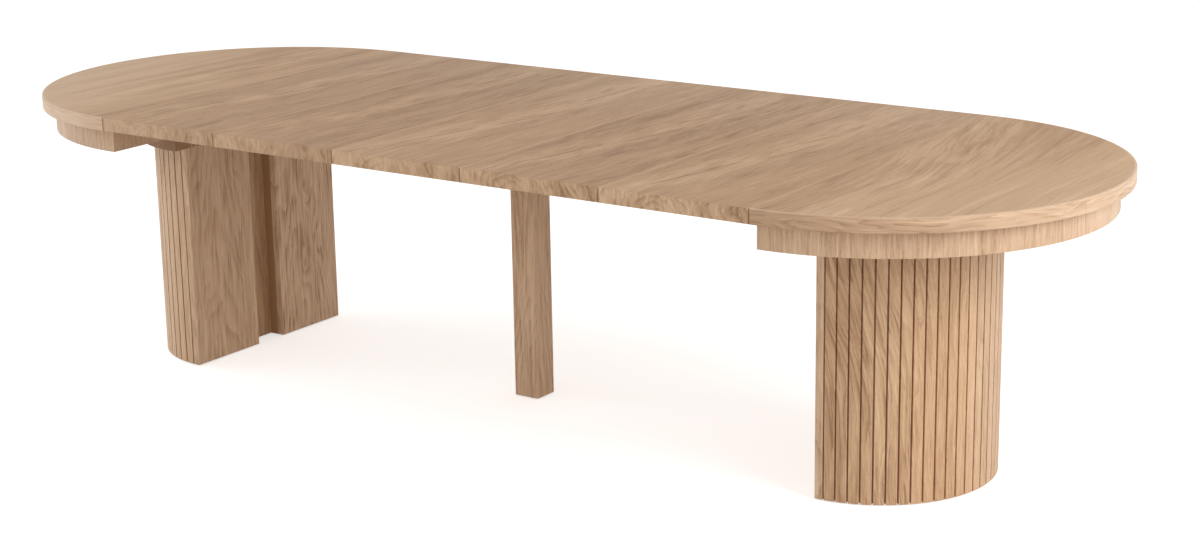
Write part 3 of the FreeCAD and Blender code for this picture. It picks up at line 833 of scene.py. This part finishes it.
def leg_wood(name):
    """Oak for the leg: upright lines, with arches low down about the front arris."""
    material, tree = new_material(name + "_oak")
    x, y, z = place(tree)
    across = wander(tree, x + y, z, LEG_DEPTH, LEG_WANDER)
    rings = distance((across - LEG_AXIS) / LEG_HEART, 1) * (LEG_HEART / LEG_RING)
    rings = rings + z.spread(*LEG_ARCHES)
    rings = rings + loops(tree, across, z, LEG_DEPTH, LEG_FIGURE, LEG_LOOPS)
    # Painted light: the faces toward the ends of the table paler
    tone = facing(tree)[0].size().spread(*LEG_PAINTED_LIGHT)
    wear_and_highlight = worn_edge(tree, name, *LEG_WEAR)
    oak(tree, across, z, LEG_DEPTH, rings, LEG_LOOK, tone, wear_and_highlight, stops=GREY_OAK_STOPS)
    return material


# Plain boards, inside and underneath
PLAIN_LOOK = Look(band=0.5, streak=0.7, fibre=0.6, ring=0.10, pore=0.25)
BOARD_LOOK = Look(band=0.8, streak=1.4, fibre=0.8, ring=0.28, pore=0.4)
BOARD_RING = 0.02
BOARD_FIGURE = (0.06, 0.6)
BOARD_LOOPS = 6


def board_wood(name, seed, tone=0.0, look=BOARD_LOOK, upright=True, stops=OAK_STOPS):
    """Wood for a board with upright fibres, or with fibres along the table."""
    material, tree = new_material(name + "_wood")
    x, y, z = place(tree)
    across, along = (x + y, z) if upright else (y + z, x)
    across = wander(tree, across, along, seed)
    rings = across / BOARD_RING + loops(tree, across, along, seed, BOARD_FIGURE, BOARD_LOOPS)
    wear_and_highlight = worn_edge(tree, name, *BOARD_WEAR)
    oak(tree, across, along, seed, rings, look, tone, wear_and_highlight, stops=stops)
    return material


PLY_LAYER = 0.0015
PLY_DARK = -0.45
PLY_PALE = 0.1
PLY_LOOPS = 8


def ply_wood(name, seed):
    """Birch plywood: thin layers, pale and dark in turn, show on the edges of the board."""
    material, tree = new_material(name + "_ply")
    x, y, z = place(tree)
    layer = ((z / PLY_LAYER).floor() * 0.5).fraction() * 2
    edge = facing(tree)[2].size().above(FACES).flipped()
    tone = (layer * PLY_DARK + PLY_PALE) * edge
    rings = loops(tree, y, x, seed, BOARD_FIGURE, PLY_LOOPS)
    oak(tree, y, x, seed, rings, PLAIN_LOOK, tone, stops=BIRCH_STOPS)
    return material


# Zinc-plated screw steel, and the brown nylon of the floor glides: how many marks they have
# in a metre each way, their dark and their pale colour, how rough the dark is, and how much
# rougher the pale
STEEL = ((900, 900, 900), (176, 176, 172), (212, 210, 200), 0.25, 0.2)
NYLON = ((700, 700, 200), (70, 58, 48), (98, 84, 70), 0.4, 0.25)


def mottled(name, marks, dark, pale, rough, rougher, metal=0):
    """A material with fine soft marks."""
    material, tree = new_material(name)
    x, y, z = (value * many for value, many in zip(place(tree), marks))
    mark = speckle(tree, x, y, z, FINE)
    shader = tree.nodes["Principled BSDF"]
    shader.inputs["Metallic"].default_value = metal
    plug(tree, shader.inputs["Base Color"], blend(tree, mark, srgb(*dark), srgb(*pale)))
    plug(tree, shader.inputs["Roughness"], mark * rougher + rough)
    return material


# The seeds of the boards along the middle of the table, and of the dowels
MIDDLE_BOARDS = {"leg_bearer": 2.0, "middle_rails": 5.0, "middle_stops": 5.0}
PIN_SEED = 3.0

# The boards of each end: for a face panel its seed, its look, and the place across the table
# of its figure. For an oak board its seed, its tone and its colours. For the rest its seed
BOLD_LOOK = FACE_LOOK._replace(streak=2.6, ring=0.60)
FACE_BOARDS = {
    "front_face_panel": (40.0, FACE_LOOK, -0.20),
    "back_face_panel": (43.0, BOLD_LOOK, 0.13),
}
OAK_BOARDS = {
    "drum_backing": (109.0, 0.1, OAK_STOPS),
    "recess_back": (51.0, 0.06, OAK_STOPS),
    # The recess sides are painted darker brown, painted shade in the recess
    "recess_sides": (49.0, 0.65, RECESS_SHADE_STOPS),
    # The cap plate's dark tone is painted shade under the top
    "cap_plate": (80.0, -0.5, OAK_STOPS),
}
SLIDE_BOARDS = {"end_rails": 60.0, "stage_rails": 63.0, "stage_stops": 66.0}
PLY_BOARDS = {"base_plate": 83.0, "inner_ribs": 86.0}
INNER_BLOCKS = {"glue_blocks": 100.0, "rail_packers": 103.0, "top_bearers": 106.0}

# How much the edges of a piece are eased, in metres. Boards with screw holes stay sharp
EASED = {
    "drum_slats": 0.0012,
    "curved_apron": 0.0008,
    "cross_rails": 0.0008,
    "front_face_panel": 0.0008,
    "back_face_panel": 0.0008,
    "recess_back": 0.0008,
    "recess_sides": 0.0008,
    "base_plate": 0.0008,
    "rail_packers": 0.001,
    "top_bearers": 0.001,
}


def beech(name, seed):
    """Beech, with its fibres along the table."""
    return board_wood(name, seed, look=PLAIN_LOOK, upright=False, stops=BEECH_STOPS)


def dress_table():
    """Give every piece its material and ease its edges."""
    for name in LEAVES:
        dress(name, leaf_wood(name))
    metal = mottled("zinc_steel", *STEEL, metal=1)
    plastic = mottled("brown_nylon", *NYLON)
    for name in NODES:
        if name.endswith("screws"):
            dress(name, metal)
        elif name.endswith(("glide", "glides")):
            dress(name, plastic)
        elif name.endswith("pins"):
            dress(name, beech(name, PIN_SEED))
    dress("centre_leg", leg_wood("centre_leg"))
    for name, seed in MIDDLE_BOARDS.items():
        dress(name, beech(name, seed))
    for side in SIDES:
        dress_end(side)


def dress_end(side):
    """Give the pieces of one end their materials and ease their edges."""
    dress(f"{side}_top_panel", panel_top_wood(side))
    dress(f"{side}_edge_band", band_wood(side))
    dress(f"{side}_curved_apron", strip_wood(f"{side}_curved_apron", side, True))
    dress(f"{side}_cross_rails", strip_wood(f"{side}_cross_rails", side, False))
    dress(f"{side}_drum_slats", slat_wood(side))
    for part, (seed, tone, stops) in OAK_BOARDS.items():
        name = f"{side}_{part}"
        dress(name, board_wood(name, seed, tone, stops=stops))
    for part, (seed, look, axis) in FACE_BOARDS.items():
        name = f"{side}_{part}"
        dress(name, face_wood(name, axis, seed + SIDES[side], look))
    for part, seed in SLIDE_BOARDS.items():
        name = f"{side}_{part}"
        dress(name, beech(name, seed))
    for part, seed in PLY_BOARDS.items():
        name = f"{side}_{part}"
        dress(name, ply_wood(name, seed))
    for part, seed in INNER_BLOCKS.items():
        name = f"{side}_{part}"
        dress(name, board_wood(name, seed, look=PLAIN_LOOK, stops=BIRCH_STOPS))
    for part, width in EASED.items():
        round_edges(f"{side}_{part}", width)


# The studio. A lamp has its place, its power and its tint
FLOOR_REACH = 60
FLOOR_WHITE = (0.88, 0.88, 0.88, 1)
FLOOR_GLOW = 0.6
FLOOR_ROUGHNESS = 0.9
WHITE = (1, 1, 1, 1)
HORIZON_LIGHT = 1.3
ZENITH_LIGHT = 0.3
ZENITH_HEIGHT = 0.9
ZENITH_TINT = (1.0, 0.955, 0.91, 1)
LAMPS = {
    "key": ((5.6, -0.6, 3.2), 165, (1, 1, 1)),
    "fill": ((-5.2, -1.5, 1.8), 64, (0.90, 0.95, 1.0)),
}
LAMP_SIZE = 3.0
LAMP_AIM = (0, 0, 0.5)


def seen_directly(tree):
    """1 for rays from the camera, and for what mirrors and glass show."""
    rays = tree.nodes.new("ShaderNodeLightPath")
    seen = Field(tree, rays.outputs["Is Camera Ray"])
    for name in ("Is Glossy Ray", "Is Transmission Ray"):
        seen = seen.most(Field(tree, rays.outputs[name]))
    return seen


def white_floor():
    """A plain white floor that keeps the table's shadow."""
    mesh = bpy.data.meshes.new("floor")
    shape = bmesh.new()
    bmesh.ops.create_grid(shape, x_segments=1, y_segments=1, size=FLOOR_REACH)
    shape.to_mesh(mesh)
    shape.free()
    floor = bpy.data.objects.new("floor", mesh)
    bpy.context.scene.collection.objects.link(floor)
    material, tree = new_material("floor_white")
    shader = tree.nodes["Principled BSDF"]
    shader.inputs["Base Color"].default_value = FLOOR_WHITE
    shader.inputs["Roughness"].default_value = FLOOR_ROUGHNESS
    shader.inputs["Specular IOR Level"].default_value = 0
    shader.inputs["Emission Color"].default_value = WHITE
    plug(tree, shader.inputs["Emission Strength"], seen_directly(tree) * FLOOR_GLOW)
    mesh.materials.append(material)


def studio_light():
    """Soft light all round, stronger near the horizon, with a key lamp and a weaker fill."""
    world = bpy.data.worlds.new("studio")
    bpy.context.scene.world = world
    world.use_nodes = True
    tree = world.node_tree
    back = tree.nodes["Background"]
    height = three(tree, "Generated")[2]
    soft = height.spread(0.0, ZENITH_HEIGHT, HORIZON_LIGHT, ZENITH_LIGHT)
    seen = seen_directly(tree)
    plug(tree, back.inputs["Strength"], soft.toward(1.0, seen))
    high_up = height.spread(0.0, ZENITH_HEIGHT) * seen.flipped()
    plug(tree, back.inputs["Color"], blend(tree, high_up, WHITE, ZENITH_TINT))
    for name, (spot, power, tint) in LAMPS.items():
        lamp(name, spot, power, tint)


def lamp(name, spot, power, tint):
    """A square soft lamp that looks at the table."""
    light = bpy.data.lights.new(name, "AREA")
    light.shape = "SQUARE"
    light.size = LAMP_SIZE
    light.energy = power
    light.color = tint
    item = bpy.data.objects.new(name, light)
    bpy.context.scene.collection.objects.link(item)
    item.location = spot
    aim = Vector(LAMP_AIM) - item.location
    item.rotation_euler = aim.to_track_quat("-Z", "Y").to_euler()
    item.visible_camera = False


# The photograph's viewpoint: the place of the lens, its heading, dip and roll in degrees, its
# focal length and the sensor's width in millimetres, and how far it sees
CAMERA_PLACE = (3.580983, -4.857700, 1.970072)
CAMERA_HEADING = 34.98
CAMERA_DIP = 15.117
CAMERA_ROLL = -0.95
CAMERA_LENS = 70.345
SENSOR_WIDTH = 36
CAMERA_REACH = 200


def photo_camera():
    """The camera at the photograph's viewing angle."""
    lens = bpy.data.cameras.new("camera")
    lens.lens = CAMERA_LENS
    lens.sensor_width = SENSOR_WIDTH
    lens.clip_end = CAMERA_REACH
    camera = bpy.data.objects.new("camera", lens)
    bpy.context.scene.collection.objects.link(camera)
    heading = Matrix.Rotation(math.radians(CAMERA_HEADING), 4, "Z")
    dip = Matrix.Rotation(math.radians(90 - CAMERA_DIP), 4, "X")
    roll = Matrix.Rotation(math.radians(CAMERA_ROLL), 4, "Z")
    camera.matrix_world = Matrix.Translation(CAMERA_PLACE) @ heading @ dip @ roll
    bpy.context.scene.camera = camera


dress_table()
white_floor()
studio_light()
photo_camera()
bpy.context.scene.view_settings.view_transform = "Standard"
